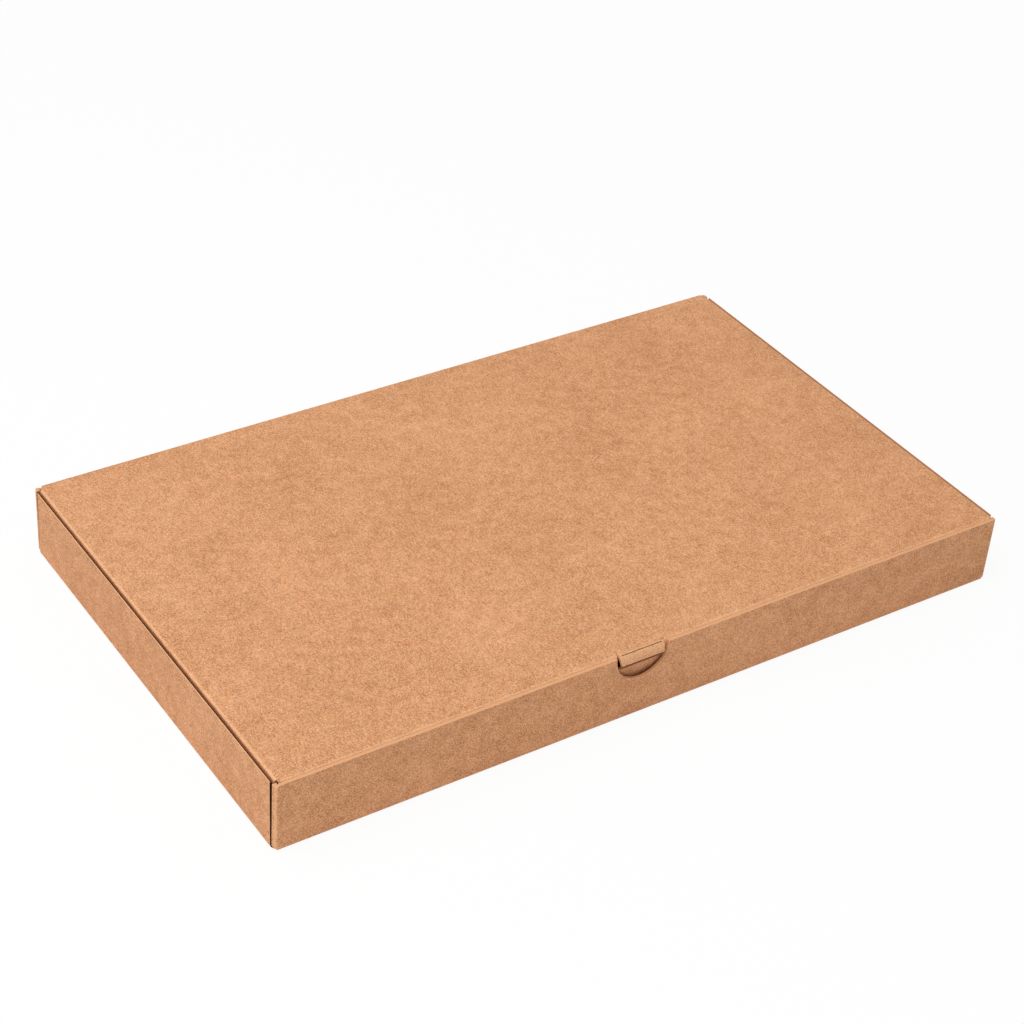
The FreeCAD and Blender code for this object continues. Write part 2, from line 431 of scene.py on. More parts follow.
@dataclass(frozen=True)
class KraftPattern:
    """Shared pattern of brown kraft paper. Scales are per metre, and ranges are of a noise."""

    grain_scale: float = 1750.0
    grain_rough: float = 0.85
    grain_weight: float = 2.75
    fleck_scale: float = 560.0
    fleck_rough: float = 0.65
    fleck_weight: float = 0.3
    cloud_scale: float = 150.0
    cloud_rough: float = 0.6
    cloud_weight: float = 0.55
    sheet_scale: float = 24.0
    sheet_weight: float = 0.3
    along: FibreLay = FibreLay((0.2, 0.1, 0.35), (1700.0, 420.0, 1700.0))
    across: FibreLay = FibreLay((0.1, 0.3, -1.05), (1500.0, 380.0, 1500.0))
    third: FibreLay = FibreLay((0.4, 0.2, 1.6), (1600.0, 460.0, 1600.0))
    pale_along: Pair = (0.62, 0.72)
    pale_across: Pair = (0.64, 0.74)
    dark_third: Pair = (0.62, 0.70)
    dark_across: Pair = (0.37, 0.29)
    tint: FibreLay = FibreLay((1.1, 0.4, 0.7), (1.0, 1.0, 1.0))
    tint_scale: float = 260.0
    fibre_relief: float = 0.4

    def build(self) -> bpy.types.NodeTree:
        """Make the node group.

        Returns:
            A group that turns a place into Tone, Grain, Pale, Dark, Hue and Relief.
        """
        group = bpy.data.node_groups.new("kraft_fibre", "ShaderNodeTree")
        sockets = group.interface
        sockets.new_socket("Vector", in_out="INPUT", socket_type="NodeSocketVector")
        for name in ("Tone", "Grain", "Pale", "Dark", "Hue", "Relief"):
            sockets.new_socket(name, in_out="OUTPUT", socket_type="NodeSocketFloat")
        nodes = Nodes(group)
        place = nodes.add("NodeGroupInput").outputs["Vector"]

        def noise(vector: object, scale: float, detail: float = 2.0,
                  rough: float = 0.55) -> bpy.types.NodeSocket:
            """Output of a Noise node."""
            inputs = {"Vector": vector, "Scale": scale, "Detail": detail, "Roughness": rough}
            return nodes.add("ShaderNodeTexNoise", inputs).outputs["Fac"]

        def laid(lay: FibreLay) -> bpy.types.NodeSocket:
            """The place, turned and stretched as the fibres lie."""
            inputs = {"Vector": place, "Rotation": lay.turn, "Scale": lay.tightness}
            return nodes.add("ShaderNodeMapping", inputs).outputs["Vector"]

        def total(start: object, parts: list[tuple[object, float]]) -> bpy.types.NodeSocket:
            """Add the weighted swings of some noises about their middle to a value.

            Args:
                start: the value.
                parts: each noise with its weight.

            Returns:
                The sum.
            """
            for part, weight in parts:
                swing = nodes.math("SUBTRACT", part, 0.5)
                start = nodes.math("ADD", start, nodes.math("MULTIPLY", swing, weight))
            return start

        def either(first: object, second: object) -> bpy.types.NodeSocket:
            """Sum of two masks, no more than 1."""
            return nodes.math("ADD", first, second, clamp=True)

        grain = noise(place, self.grain_scale, rough=self.grain_rough)
        fleck = noise(place, self.fleck_scale, rough=self.fleck_rough)
        cloud = noise(place, self.cloud_scale, rough=self.cloud_rough)
        sheet = noise(place, self.sheet_scale, detail=1.0)
        tone = total(0.5, [(grain, self.grain_weight), (fleck, self.fleck_weight),
                           (cloud, self.cloud_weight), (sheet, self.sheet_weight)])
        along, across, third = (noise(laid(lay), scale=1.0, detail=1.0)
                                for lay in (self.along, self.across, self.third))
        pale = either(nodes.spread(along, *self.pale_along),
                      nodes.spread(across, *self.pale_across))
        dark = either(nodes.spread(third, *self.dark_third),
                      nodes.spread(across, *self.dark_across))
        hue = noise(laid(self.tint), self.tint_scale)
        relief = total(grain, [(pale, self.fibre_relief), (dark, -self.fibre_relief)])
        nodes.add("NodeGroupOutput", {"Tone": tone, "Grain": grain, "Pale": pale, "Dark": dark,
                                      "Hue": hue, "Relief": relief})
        return group


class BoardMaterial:
    """A material of the board that is filled step by step, with the kraft pattern placed in it."""

    def __init__(self, name: str, fibre: bpy.types.NodeTree) -> None:
        """Make the material.

        Args:
            name: its name.
            fibre: the shared kraft pattern.
        """
        self.material = bpy.data.materials.new(name)
        self.material.use_nodes = True
        self.nodes = Nodes(self.material.node_tree)
        place = self.nodes.add("ShaderNodeTexCoord").outputs["Object"]
        group = self.nodes.add("ShaderNodeGroup", {"Vector": place}, node_tree=fibre)
        self.pattern = group.outputs

    def mark(self, name: str) -> bpy.types.NodeSocket:
        """Value of one of the piece's attributes."""
        return self.nodes.add("ShaderNodeAttribute", attribute_name=name).outputs["Fac"]

    def bump(self, height: bpy.types.NodeSocket, strength: float,
             depth: float) -> bpy.types.NodeSocket:
        """Normal of a Bump node."""
        inputs = {"Strength": strength, "Distance": depth, "Height": height}
        return self.nodes.add("ShaderNodeBump", inputs).outputs["Normal"]

    def close(self, inputs: dict[str, object]) -> bpy.types.Material:
        """Add the Principled shader and the output.

        Args:
            inputs: the shader's values or sockets by input name.

        Returns:
            The finished material.
        """
        shader = self.nodes.add("ShaderNodeBsdfPrincipled", inputs)
        self.nodes.add("ShaderNodeOutputMaterial", {"Surface": shader.outputs["BSDF"]})
        return self.material


@dataclass(frozen=True)
class Liner:
    """One face of the board: uncoated kraft paper, paler where it is folded or scuffed, partly a
    painted highlight.
    """

    name: str
    dark: Colour
    light: Colour
    fibre: float = 0.42
    roughness: float = 0.82
    roughness_swing: float = 0.06
    # The paler paper of folds and scuffed edges, which also paints a highlight on the folds.
    bare_and_highlight: Colour = (0.90, 0.49, 0.265, 1.0)
    warm: Colour = (1.04, 0.99, 0.90, 1.0)
    cool: Colour = (0.96, 1.01, 1.10, 1.0)
    full_wear_and_highlight: float = 0.12
    rub_and_highlight_tones: Pair = (0.2, 0.7)
    rub_and_highlight_shares: Pair = (0.4, 0.95)
    relief: float = 0.15
    relief_depth: float = 0.06 * MM
    gloss: float = 0.25

    def build(self, fibre: bpy.types.NodeTree) -> bpy.types.Material:
        """Make the material.

        Args:
            fibre: the shared kraft pattern.

        Returns:
            The material.
        """
        base = BoardMaterial(self.name, fibre)
        nodes, pattern = base.nodes, base.pattern
        tone = nodes.math("ADD", pattern["Tone"], 0.0, clamp=True)
        colour = nodes.blend(tone, self.dark, self.light)
        pale = nodes.math("MULTIPLY", pattern["Pale"], self.fibre)
        colour = nodes.blend(pale, colour, self.light)
        dark = nodes.math("MULTIPLY", pattern["Dark"], self.fibre)
        colour = nodes.blend(dark, colour, self.dark)
        tints = nodes.blend(pattern["Hue"], self.warm, self.cool)
        colour = nodes.blend(1.0, colour, tints, "MULTIPLY")
        # Folds and softened edges turn paler: stretched paper and a painted highlight.
        worn_and_highlit = nodes.spread(base.mark("wear_and_highlight"), 0.0, self.full_wear_and_highlight)
        rubbed_and_highlit = nodes.math("MULTIPLY", worn_and_highlit,
                            nodes.spread(pattern["Tone"], *self.rub_and_highlight_tones, *self.rub_and_highlight_shares))
        colour = nodes.blend(rubbed_and_highlit, colour, self.bare_and_highlight)
        rough = nodes.spread(pattern["Grain"], *GRAIN_RANGE, self.roughness - self.roughness_swing,
                             self.roughness + self.roughness_swing)
        normal = base.bump(pattern["Relief"], self.relief, self.relief_depth)
        return base.close({"Base Color": colour, "Roughness": rough, "Normal": normal,
                           "Specular IOR Level": self.gloss})


@dataclass(frozen=True)
class CutEdge:
    """A cut along the flutes: two pale liners with the brown medium between them."""

    name: str = "cut_edge"
    liner: Colour = (0.84, 0.44, 0.23, 1.0)
    medium: Colour = (0.70, 0.36, 0.18, 1.0)
    core: Pair = (0.32, 0.22)
    ragged_grain: Pair = (0.3, 0.6)
    ragged_shares: Pair = (0.35, 1.0)
    fibre: float = 0.4
    roughness: float = 0.9
    relief: float = 0.5
    relief_depth: float = 0.08 * MM
    gloss: float = 0.2

    def build(self, fibre: bpy.types.NodeTree) -> bpy.types.Material:
        """Make the material.

        Args:
            fibre: the shared kraft pattern.

        Returns:
            The material.
        """
        base = BoardMaterial(self.name, fibre)
        nodes, pattern = base.nodes, base.pattern
        middle = nodes.math("ABSOLUTE", nodes.math("SUBTRACT", base.mark("ply"), 0.5))
        core = nodes.spread(middle, *self.core)
        ragged = nodes.spread(pattern["Grain"], *self.ragged_grain, *self.ragged_shares)
        colour = nodes.blend(nodes.math("MULTIPLY", core, ragged), self.liner, self.medium)
        dark = nodes.math("MULTIPLY", pattern["Dark"], self.fibre)
        colour = nodes.blend(dark, colour, self.medium)
        normal = base.bump(pattern["Grain"], self.relief, self.relief_depth)
        return base.close({"Base Color": colour, "Roughness": self.roughness, "Normal": normal,
                           "Specular IOR Level": self.gloss})


@dataclass(frozen=True)
class PaintedShade:
    """Painted shade: the near-black colour of the hollow between the liners where a cut runs across
    the flutes, also laid in slits and grooves.
    """

    name: str = "painted_shade_flute"
    # Both colours are painted shade, far darker than the brown medium paper of a cut edge.
    paper: Colour = (0.060, 0.020, 0.005, 1.0)
    shade: Colour = (0.030, 0.010, 0.002, 1.0)
    roughness: float = 0.95
    gloss: float = 0.1

    def build(self, fibre: bpy.types.NodeTree) -> bpy.types.Material:
        """Make the material.

        Args:
            fibre: the shared kraft pattern.

        Returns:
            The material.
        """
        base = BoardMaterial(self.name, fibre)
        share = base.nodes.spread(base.pattern["Grain"], *GRAIN_RANGE)
        colour = base.nodes.blend(share, self.shade, self.paper)
        return base.close({"Base Color": colour, "Roughness": self.roughness,
                           "Specular IOR Level": self.gloss})


@dataclass
class BoardFinish:
    """All finishes of the board, made once and shared by its pieces."""

    outer: Liner = Liner("kraft_outer", (0.400, 0.155, 0.052, 1.0), (0.950, 0.505, 0.270, 1.0))
    inner: Liner = Liner("kraft_inner", (0.385, 0.150, 0.051, 1.0), (0.880, 0.470, 0.255, 1.0),
                         fibre=0.38, roughness=0.86)
    edge: CutEdge = CutEdge()
    # The flute finish is the painted shade of hollows, slits and grooves.
    flute: PaintedShade = PaintedShade()
    materials: dict[Skin, bpy.types.Material] = field(default_factory=dict)

    def build(self) -> None:
        """Make the materials."""
        fibre = KraftPattern().build()
        finishes = {Skin.OUTER: self.outer, Skin.INNER: self.inner, Skin.EDGE: self.edge,
                    Skin.PAINTED_SHADE: self.flute}
        for skin, finish in finishes.items():
            self.materials[skin] = finish.build(fibre)


@dataclass
class Tray:
    """Bottom, four walls, corner posts and glue flaps, folded from one sheet."""

    half_length: float = 175.0 * MM
    half_width: float = 105.0 * MM
    wall_top: float = 32.0 * MM
    crease_start: float = 31.5 * MM
    board: float = 1.3 * MM
    fold: float = 1.5 * MM
    end_fold: float = 1.65 * MM
    long_wall_half: float = 173.3 * MM
    front_top: float = 32.35 * MM
    front_half: float = 172.8 * MM
    end_wall_foot: float = 101.8 * MM
    end_wall_head: float = 101.1 * MM
    post_x: float = 174.6 * MM
    post_back: float = 102.5 * MM
    post_fold: float = 1.4 * MM
    post_jog: float = 0.6 * MM
    foot_start: float = 171.2 * MM
    foot_rise: float = 3.0 * MM
    slit_depth: float = 1.3 * MM
    crush: float = 0.22 * MM
    rim_liner: float = 0.12 * MM
    rim_depth: float = 1.4 * MM
    shade_strip: float = 1.0 * MM
    flap_x: float = 173.65 * MM
    flap_end: float = 79.0 * MM
    flap_top: float = 23.0 * MM
    flap_slant: float = 7.0 * MM
    flap_round: float = 2.0 * MM
    crease_half: float = 171.6 * MM
    notch_radius: float = 12.5 * MM
    notch_x: float = -11.5 * MM
    notch_z: float = 31.5 * MM
    notch_sides: int = 96
    cutter_length: float = 10.4 * MM
    cutter_rise: float = 5.2 * MM

    def build(self, finish: BoardFinish) -> bpy.types.Object:
        """Fold the tray.

        Args:
            finish: the board's materials.

        Returns:
            The tray shell.
        """
        sheet = BoardSheet("tray_shell", (-self.long_wall_half, -self.half_width),
                           (self.long_wall_half, self.half_width), 0.0)
        self.fold_long_walls(sheet)
        self.fold_end_walls(sheet)
        for side in (-1, 1):
            for end in (-1, 1):
                self.fold_corner(sheet, side, end)
        self.set_wall_top(sheet, self.half_width, self.crease_half, self.crease_start)
        self.set_wall_top(sheet, -self.half_width, self.front_half, self.front_top)
        sheet.face_outwards(Zone(z=(0, 0)), Vector((0, 0, -1)))
        sheet.thicken(self.board)
        sheet.edit()
        sheet.soften_cut_edges(self.crush)
        self.paint_slit_shade(sheet)
        sheet.leave()
        obj = sheet.object
        self.cut_notch(obj)
        self.open_edges(sheet)
        dress(obj, finish)
        finish_shading(obj)
        return obj

    def fold_long_walls(self, sheet: BoardSheet) -> None:
        """Raise the front and rear walls from the bottom panel.

        Args:
            sheet: the tray's sheet.
        """
        for low, high in both(self.half_width, self.half_width):
            sheet.edges(Zone(y=(low, high)))
            sheet.pull((0, 0, self.wall_top))
        rows = [Zone(y=limits, z=(0, 0)) for limits in both(self.half_width, self.half_width)]
        sheet.edges(*rows)
        sheet.fold(self.fold)

    def fold_end_walls(self, sheet: BoardSheet) -> None:
        """Raise the end walls, which narrow a little towards their tops.

        Args:
            sheet: the tray's sheet.
        """
        inner = self.half_width - self.fold
        for side in (-1, 1):
            start = side * self.long_wall_half
            sheet.edges(Zone(x=(start, start), y=(-inner, inner), z=(0, 0)))
            sheet.pull((side * (self.half_length - self.long_wall_half), 0, 0))
            sheet.pull((0, 0, self.wall_top))
            out = side * self.half_length
            for end in (-1, 1):
                old = end * inner
                sheet.corners(Zone(x=(out, out), y=(old, old), z=(0, 0)))
                sheet.shift((0, end * self.end_wall_foot - old, 0))
                sheet.corners(Zone(x=(out, out), y=(old, old), z=(self.wall_top, self.wall_top)))
                sheet.shift((0, end * self.end_wall_head - old, 0))
            sheet.edges(Zone(x=(out, out), z=(0, 0)))
            sheet.fold(self.end_fold, segments=8)

    def fold_corner(self, sheet: BoardSheet, side: int, end: int) -> None:
        """Wrap a long wall round a corner and on to its glue flap.

        Args:
            sheet: the tray's sheet.
            side: -1 for the left end of the box, 1 for the right.
            end: -1 for the front wall, 1 for the rear wall.
        """
        start = side * self.long_wall_half
        wall = end * self.half_width
        sheet.edges(Zone(x=(start, start), y=(wall, wall), z=(self.fold, self.wall_top)))
        out = side * self.post_x
        sheet.pull((out - start, 0, 0))
        sheet.pull((0, -end * (self.half_width - self.post_back), 0))
        back = end * self.post_back
        flap = side * self.flap_x
        sheet.pull((flap - out, -end * self.post_jog, 0))
        root = back - end * self.post_jog
        top_zone = Zone(x=(flap, flap), y=(root, root), z=(self.wall_top, self.wall_top))
        sheet.corners(top_zone)
        sheet.shift((0, 0, self.flap_top - self.wall_top))
        sheet.edges(Zone(x=(flap, flap), y=(root, root), z=(self.fold, self.flap_top)))
        sheet.pull((0, -end * (self.post_back - self.post_jog - self.flap_end), 0))
        tip = end * self.flap_end
        for height, step in ((self.fold, self.flap_slant), (self.flap_top, -self.flap_slant)):
            sheet.corners(Zone(x=(flap, flap), y=(tip, tip), z=(height, height)))
            sheet.shift((0, 0, step))
        sheet.corners(Zone(x=(flap, flap), y=(tip, tip)))
        sheet.round_off(self.flap_round, segments=4)
        sheet.edges(Zone(x=(out, out), y=(wall, wall), z=(self.fold, self.wall_top)))
        sheet.fold(self.post_fold)
        sheet.faces(Zone(y=span(back + end * 5 * NEAR, wall)))
        sheet.trim((side * self.foot_start, 0, 0),
                   (-side * self.foot_rise, 0, self.post_x - self.foot_start))
        sheet.faces(Zone(x=(flap, flap), y=span(root, tip)))
        sheet.slice((0, root - end * self.slit_depth, 0), (0, 1, 0))

    def set_wall_top(self, sheet: BoardSheet, wall: float, half: float, height: float) -> None:
        """Set the top of a long wall between its corners.

        Args:
            sheet: the tray's sheet.
            wall: the wall's Y.
            half: half of the length that is set.
            height: the new top.
        """
        for side in (-1, 1):
            sheet.faces(Zone(y=(wall, wall)))
            sheet.slice((side * half, 0, 0), (1, 0, 0))
        sheet.corners(Zone(x=(-half, half), y=(wall, wall), z=(self.wall_top, self.wall_top)))
        sheet.shift((0, 0, height - self.wall_top))

    def paint_slit_shade(self, sheet: BoardSheet) -> None:
        """Paint shade, in the near-black shade finish, where the glue flaps show through the corner
        slits.

        Args:
            sheet: the tray's sheet, already thick, in edit mode.
        """
        root = self.post_back - self.post_jog
        zones = [Zone(x=side, y=end)
                 for side in both(self.flap_x, self.post_x)
                 for end in both(root - self.slit_depth, self.post_back)]
        sheet.faces(*zones)
        # Painted shade on the glue flaps' strips inside the slits.
        sheet.paint(Skin.PAINTED_SHADE)

    def open_edges(self, sheet: BoardSheet) -> None:
        """Show the flutes along the end walls' tops, with a strip of the inner liner lowered and
        painted as shade.

        Args:
            sheet: the tray's sheet, already thick.
        """
        sheet.edit()
        inner = self.half_length - self.board
        top = self.wall_top
        for ends in both(inner, self.half_length):
            sheet.open_flutes(Zone(x=ends, y=MIDDLE, z=(top, top)), (0, 0, 1),
                              self.rim_liner, self.rim_depth)
        level = (top - 4 * NEAR, top)
        # Painted shade: the inner liner's top strip is painted near-black and lowered by one board,
        # for the dark gap beside the lid.
        sheet.faces(*[Zone(x=ends, y=MIDDLE, z=level) for ends in both(inner, inner + self.shade_strip)])
        sheet.paint(Skin.PAINTED_SHADE)
        sheet.shift((0, 0, -self.board))
        sheet.leave()

    def cut_notch(self, obj: bpy.types.Object) -> None:
        """Cut the thumb notch out of the front wall.

        Args:
            obj: the thickened tray.
        """
        deselect_all()
        bpy.ops.mesh.primitive_cylinder_add(
            vertices=self.notch_sides, radius=self.notch_radius, depth=self.cutter_length,
            location=(self.notch_x, -self.half_width, self.notch_z), rotation=(math.pi / 2, 0, 0),
        )
        cutter = bpy.context.active_object
        bpy.ops.object.transform_apply(location=True, rotation=True, scale=True)
        bpy.ops.object.mode_set(mode="EDIT")
        bpy.ops.mesh.select_all(action="DESELECT")
        mesh = bmesh.from_edit_mesh(cutter.data)
        for vertex in mesh.verts:
            vertex.select_set(vertex.co.z > self.notch_z + NEAR)
        mesh.select_flush(True)
        bpy.ops.transform.translate(value=(0, 0, self.cutter_rise))
        bpy.ops.object.mode_set(mode="OBJECT")
        for _ in Skin:
            cutter.data.materials.append(None)
        for face in cutter.data.polygons:
            face.material_index = Skin.EDGE.value
        cut = obj.modifiers.new("notch", "BOOLEAN")
        cut.operation = "DIFFERENCE"
        cut.solver = "EXACT"
        cut.material_mode = "INDEX"
        cut.object = cutter
        apply_modifier(obj, cut)
        bpy.data.objects.remove(cutter)
        reach = self.notch_radius + NEAR
        rim = Zone(x=(self.notch_x - reach, self.notch_x + reach),
                   y=(-self.half_width, -self.half_width + self.board))
        ply = obj.data.attributes["ply"]
        for vertex, item in zip(obj.data.vertices, ply.data):
            if rim.holds(vertex.co):
                item.value = (vertex.co.y + self.half_width) / self.board


@dataclass
class Lid:
    """Panel, side flaps and tuck flap of the lid, with the lift tab cut from the tuck flap."""

    top: float = 33.0 * MM
    board: float = 1.3 * MM
    fold: float = 1.5 * MM
    side_x: float = 173.55 * MM
    side_front: float = 102.0 * MM
    side_rear: float = 102.0 * MM
    corner_reach: float = 1.65 * MM
    side_depth: float = 20.0 * MM
    side_lean: float = 2.81 * MM
    side_slant: float = 6.0 * MM
    rear: float = 103.5 * MM
    crease_half: float = 171.6 * MM
    front: float = 103.9 * MM
    tuck_half: float = 171.8 * MM
    tuck_depth: float = 22.0 * MM
    tuck_lean: float = 2.6 * MM
    tuck_slant: float = 4.0 * MM
    flap_corner: float = 9.0 * MM
    flap_place: Pair = (150.0 * MM, 180.0 * MM)  # X range that holds a side flap
    tab_x: float = -11.8 * MM
    tab_half: float = 11.35 * MM
    tab_cut: float = 0.5 * MM
    tab_taper: float = 0.7 * MM
    tab_crease: float = 104.05 * MM
    tab_sag: float = 0.25 * MM
    tab_score: float = 0.14 * MM
    score_press: Triple = (0.0, 0.2 * MM, -0.3 * MM)
    score_line: float = 0.4  # share of the score's width that holds its pressed line
    score_shade_share: float = 1.6  # and the share that holds its faces
    tab_bridge: float = 1.2 * MM
    tab_length: float = 4.5 * MM
    tab_turns: tuple[float, ...] = (54.0, 62.0, 68.0, 72.0)
    tab_flat_share: float = 0.42
    tab_flute_depth: float = 0.6 * MM
    tab_front: float = 110.0 * MM  # further forward than the tab reaches
    window_depth: float = 8.4 * MM

    def build(self, finish: BoardFinish) -> bpy.types.Object:
        """Fold the lid.

        Args:
            finish: the board's materials.

        Returns:
            The lid shell.
        """
        sheet = BoardSheet("lid_shell", (-self.side_x, -self.side_front),
                           (self.side_x, self.side_rear), self.top)
        self.fold_sides(sheet)
        self.fold_front(sheet)
        self.reach_crease(sheet)
        self.cut_tab(sheet)
        sheet.face_outwards(Zone(y=MIDDLE, z=(self.top, self.top)), Vector((0, 0, 1)))
        sheet.thicken(self.board)
        sheet.edit()
        sheet.soften_cut_edges()
        sheet.leave()
        self.score_tab(sheet)
        self.open_edges(sheet)
        obj = sheet.object
        dress(obj, finish)
        finish_shading(obj)
        return obj

    def open_edges(self, sheet: BoardSheet) -> None:
        """Show the flutes at the ends of the tab and along the side flaps' free edges, painted as
        shade.

        Args:
            sheet: the lid's sheet, already thick.
        """
        sheet.edit()
        low = self.top - self.side_depth
        tab_low = self.top - self.tab_sag - self.tab_length
        for side in (-1, 1):
            end = self.tab_x + side * (self.tab_half - self.tab_cut - self.tab_taper / 2)
            # Painted shade: the tab's ends and the side flaps' free edges are hollowed and painted
            # near-black.
            sheet.open_flutes(
                Zone(x=(end - self.tab_taper, end + self.tab_taper),
                     y=(-self.tab_front, -self.tab_crease), z=(tab_low - self.board, self.top)),
                (side, 0, 0), depth=self.tab_flute_depth)
            near, far = self.flap_place
            sheet.open_flutes(Zone(x=span(side * near, side * far), y=MIDDLE,
                                   z=(low - self.board, low + self.board)), (0, 0, -1))
        sheet.leave()

    def fold_sides(self, sheet: BoardSheet) -> None:
        """Turn the side flaps down inside the end walls.

        Args:
            sheet: the lid's sheet.
        """
        low = self.top - self.side_depth
        for side in (-1, 1):
            out = side * self.side_x
            sheet.edges(Zone(x=(out, out)))
            sheet.pull((-side * self.side_lean, 0, -self.side_depth))
            tip = out - side * self.side_lean
            for old, slant in ((-self.side_front, self.side_slant),
                               (self.side_rear, -self.side_slant)):
                sheet.corners(Zone(x=(tip, tip), y=(old, old), z=(low, low)))
                sheet.shift((0, slant, 0))
            sheet.corners(Zone(x=(tip, tip), z=(low, low)))
            sheet.round_off(self.flap_corner)
            sheet.edges(Zone(x=(out, out), z=(self.top, self.top)))
            sheet.fold(self.fold)
            flat = out - side * self.fold
            sheet.edges(Zone(x=span(flat, out), y=(-self.side_front, -self.side_front),
                             z=(self.top - self.fold / 2, self.top)))
            sheet.pull((0, -self.corner_reach, 0))

    def fold_front(self, sheet: BoardSheet) -> None:
        """Fold the tuck flap down behind the front wall.

        Args:
            sheet: the lid's sheet.
        """
        half = self.tuck_half
        start = -self.side_front
        for x in (-half, half):
            sheet.faces(Zone(z=(self.top, self.top)))
            sheet.slice((x, 0, 0), (1, 0, 0))
        sheet.edges(Zone(x=(-half, half), y=(start, start), z=(self.top, self.top)))
        sheet.pull((0, -(self.front - self.side_front), 0))
        sheet.pull((0, self.tuck_lean, -self.tuck_depth))
        low = self.top - self.tuck_depth
        tip = -self.front + self.tuck_lean
        for side in (-1, 1):
            sheet.corners(Zone(x=(side * half, side * half), y=(tip, tip), z=(low, low)))
            sheet.shift((-side * self.tuck_slant, 0, 0))
        sheet.corners(Zone(y=(tip, tip), z=(low, low)))
        sheet.round_off(self.flap_corner)
        sheet.edges(Zone(y=(-self.front, -self.front), z=(self.top, self.top)))
        sheet.fold(self.fold)

    def reach_crease(self, sheet: BoardSheet) -> None:
        """Bring the panel back to where the rear crease begins.

        Args:
            sheet: the lid's sheet.
        """
        half = self.crease_half
        edge = self.side_rear
        for x in (-half, half):
            sheet.faces(Zone(z=(self.top, self.top)))
            sheet.slice((x, 0, 0), (1, 0, 0))
        sheet.edges(Zone(x=(-half, half), y=(edge, edge), z=(self.top, self.top)))
        sheet.pull((0, self.rear - edge, 0))

    def cut_tab(self, sheet: BoardSheet) -> None:
        """Cut the lift tab free of the tuck flap and curl it over the thumb notch.

        Args:
            sheet: the lid's sheet.
        """
        low = self.top - self.window_depth
        sheet.faces(Zone(y=(-self.front, -self.front + self.tuck_lean), z=(0, self.top)))
        sheet.slice((0, 0, low), (0, 0, 1))
        half = self.tab_half
        free = half - self.tab_cut
        inner = free - self.tab_bridge
        for offset in (-half, -free, -inner, inner, free, half):
            sheet.faces(Zone())
            sheet.slice((self.tab_x + offset, 0, 0), (1, 0, 0))
        flat_end = -self.front + self.fold
        sheet.faces(Zone(x=(self.tab_x - half, self.tab_x + half),
                         y=(-self.front, flat_end - 2 * NEAR), z=(low, self.top)))
        sheet.remove_faces()
        sheet.edges(Zone(x=(self.tab_x - free, self.tab_x + free), y=(flat_end, flat_end),
                         z=(self.top, self.top)))
        reach = -self.tab_crease - flat_end
        sheet.pull((0, reach * self.tab_flat_share, 0))
        sheet.pull((0, reach * (1 - self.tab_flat_share), -self.tab_sag))
        step = self.tab_length / len(self.tab_turns)
        narrower = self.tab_taper / len(self.tab_turns)
        for turn in map(math.radians, self.tab_turns):
            sheet.pull((0, -step * math.cos(turn), -step * math.sin(turn)))
            bpy.ops.transform.resize(value=((free - narrower) / free, 1, 1),
                                     center_override=(self.tab_x, 0, 0))
            free -= narrower

    def score_tab(self, sheet: BoardSheet) -> None:
        """Press in the score line that the tab bends along, short of its two ends, and paint its
        groove as shade.

        Args:
            sheet: the lid's sheet, already thick.
        """
        inner = self.tab_half - self.tab_cut - self.tab_bridge
        across = (self.tab_x - inner, self.tab_x + inner)
        level = self.top - self.tab_sag

        def strip(reach: float) -> Zone:
            """The places within a reach of the score line."""
            return Zone(x=across, y=(-self.tab_crease - reach, -self.tab_crease + reach),
                        z=(level - reach, level + reach))

        sheet.edit()
        sheet.edges(strip(0.0))
        sheet.fold(self.tab_score, segments=2)
        sheet.corners(strip(self.tab_score * self.score_line))
        sheet.shift(self.score_press)
        # Painted shade: the score's faces take the near-black shade finish.
        sheet.faces(strip(self.tab_score * self.score_shade_share))
        sheet.paint(Skin.PAINTED_SHADE)
        sheet.leave()


@dataclass
class RearCrease:
    """The rounded strip of board that joins the rear wall to the lid."""

    half: float = 171.3 * MM
    half_width: float = 105.0 * MM
    top: float = 33.0 * MM
    fold: float = 1.5 * MM
    board: float = 1.3 * MM
    lap: float = 0.05 * MM

    def build(self, finish: BoardFinish) -> bpy.types.Object:
        """Fold the strip.

        Args:
            finish: the board's materials.

        Returns:
            The crease.
        """
        start = self.half_width - self.fold
        sheet = BoardSheet("rear_crease", (-self.half, start - self.lap),
                           (self.half, self.half_width), self.top)
        sheet.edges(Zone(y=(self.half_width, self.half_width)))
        sheet.pull((0, 0, -self.fold - self.lap))
        sheet.edges(Zone(y=(self.half_width, self.half_width), z=(self.top, self.top)))
        sheet.fold(self.fold, segments=10)
        sheet.face_outwards(Zone(z=(self.top, self.top)), Vector((0, 0, 1)))
        sheet.thicken(self.board)
        obj = sheet.object
        dress(obj, finish)
        finish_shading(obj)
        return obj


@dataclass
class Viewpoint:
    """Where the camera stands, as turns round the box."""

    azimuth: float = -35.65
    elevation: float = 35.69
    roll: float = 4.55
    distance: float = 1.039
    lens: float = 84.51
    sensor: float = 36.0
    clip: Pair = (0.01, 50.0)
    aim: Triple = (7.1 * MM, 16.5 * MM, 15.0 * MM)

    def build(self) -> None:
        """Make the scene's camera."""
        turn = math.radians(self.azimuth)
        rise = math.radians(self.elevation)
        flat = math.cos(rise)
        back = Vector((math.sin(turn) * flat, -math.cos(turn) * flat, math.sin(rise)))
        camera = bpy.data.objects.new("camera", bpy.data.cameras.new("camera"))
        bpy.context.scene.collection.objects.link(camera)
        camera.location = Vector(self.aim) + back * self.distance
        level = (-back).to_track_quat("-Z", "Y")
        camera.rotation_mode = "QUATERNION"
        camera.rotation_quaternion = level @ Quaternion((0, 0, 1), math.radians(self.roll))
        camera.data.lens = self.lens
        camera.data.sensor_width = self.sensor
        camera.data.clip_start, camera.data.clip_end = self.clip
        bpy.context.scene.camera = camera


